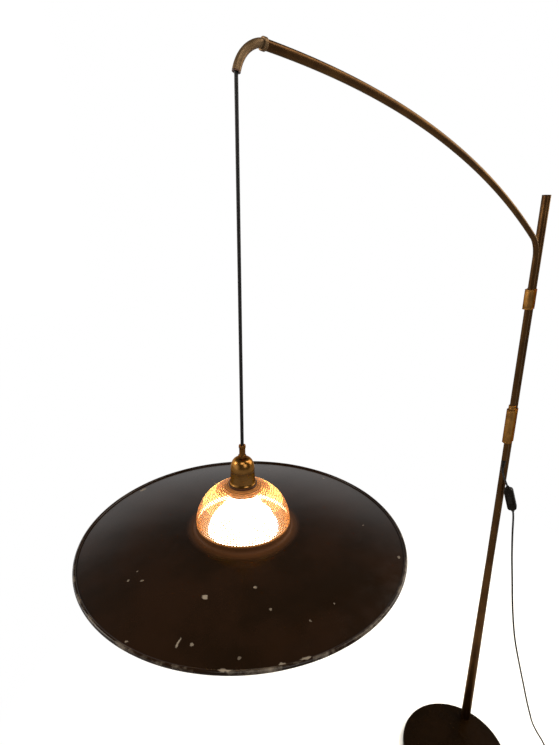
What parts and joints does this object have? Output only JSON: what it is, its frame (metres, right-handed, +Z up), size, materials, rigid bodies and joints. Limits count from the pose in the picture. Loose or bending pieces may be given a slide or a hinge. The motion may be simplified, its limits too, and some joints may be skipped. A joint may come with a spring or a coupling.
{
  "type": "floor lamp",
  "caption": "Floor lamp with a round cast base, an upright pole, a curved arm held in sliding brass clamps, and a wide enamel shade with a perforated dome on a drop cord.",
  "frame": {"origin": "centre of the base's underside, on the floor", "axes": "+Z up, the arm runs from the pole along -X, +Y across the arm"},
  "size_m": [1.2495, 0.5296, 1.8044],
  "materials": {
    "cast_base": "glossy near-black enamel on cast iron",
    "felt": "dark felt",
    "bronze_paint": "dark bronze lacquer on steel tube",
    "clamp_brass": "aged satin brass",
    "old_brass": "dark antique brass",
    "steel": "plain steel",
    "holder": "black moulded insulator",
    "block": "glazed porcelain",
    "mesh": "perforated brass sheet",
    "enamel": "dark brown vitreous enamel, chipped",
    "glass": "opal white glass",
    "cord": "black flexible cord",
    "plastic": "black moulded plastic",
    "pins": "plated pins"
  },
  "bodies": {
    "stand": {"base_disc": "cast_base", "felt_pad": "felt", "pole_taper": "bronze_paint", "pole": "bronze_paint", "pole_cap": "bronze_paint", "foot_plug": "steel", "base_bolt": "steel", "base_washer": "steel", "mains_cord": "cord", "cord_coil": "cord", "coil_tie": "plastic", "plug_sleeve": "plastic", "plug_body": "plastic", "plug_pins": "pins"},
    "carriage": {"upper_clamp": "clamp_brass", "lower_clamp": "clamp_brass", "switch_lead": "cord", "switch_front": "plastic", "switch_back": "plastic", "switch_screws": "steel", "switch_contacts": "clamp_brass"},
    "upper_lock": {"upper_lock_screw": "old_brass"},
    "lower_lock": {"lower_lock_screw": "old_brass"},
    "rocker": {"switch_rocker": "plastic"},
    "arm": {"arm_leg": "bronze_paint", "arm_ferrule": "steel", "arm_bow": "bronze_paint", "stop_collar": "clamp_brass", "end_ring": "old_brass", "outlet_bend": "old_brass", "outlet_bush": "plastic", "leg_end_bush": "plastic", "inner_cord": "cord"},
    "drop": {"drop_cord": "cord"},
    "pendant": {"cord_grip": "old_brass", "grip_screw": "steel", "grip_nut": "steel", "holder_lead": "cord", "socket_cap": "old_brass", "holder_body": "holder", "contact_block": "block", "screw_shell": "clamp_brass", "centre_contact": "clamp_brass", "shade_ring": "old_brass", "dome": "mesh", "shade": "enamel", "bulb_glass": "glass", "bulb_cap": "steel"}
  },
  "joints": [
    {"name": "carriage_slide", "type": "slide", "parent": "stand", "child": "carriage", "axis": [0, 0, 1], "range_m": [-0.36, 0.2], "deforming": ["mains_cord"]},
    {"name": "upper_lock_turn", "type": "hinge", "parent": "carriage", "child": "upper_lock", "pos_m": [0.1248, 0.03472, 1.4075], "axis": [0.9135, 0.4067, 0], "range_deg": [-180, 180]},
    {"name": "lower_lock_turn", "type": "hinge", "parent": "carriage", "child": "lower_lock", "pos_m": [0.1248, 0.03472, 1.07], "axis": [0.9135, 0.4067, 0], "range_deg": [-180, 180]},
    {"name": "switch_rock", "type": "hinge", "parent": "carriage", "child": "rocker", "pos_m": [0.09996, -0.0052, 0.867], "axis": [0.3808, -0.8715, 0.309], "range_deg": [0, 16]},
    {"name": "arm_swivel", "type": "hinge", "parent": "carriage", "child": "arm", "pos_m": [0.10588, 0.03, 1.2], "axis": [0, 0, 1], "range_deg": [-75, 75]},
    {"name": "cord_swing", "type": "hinge", "parent": "arm", "child": "drop", "pos_m": [-0.76134, 0.03, 1.75948], "axis": [0, 1, 0], "range_deg": [-20, 20]},
    {"name": "shade_tilt", "type": "hinge", "parent": "drop", "child": "pendant", "pos_m": [-0.76134, 0.03, 1.27348], "axis": [1, 0, 0], "range_deg": [-15, 15]}
  ]
}
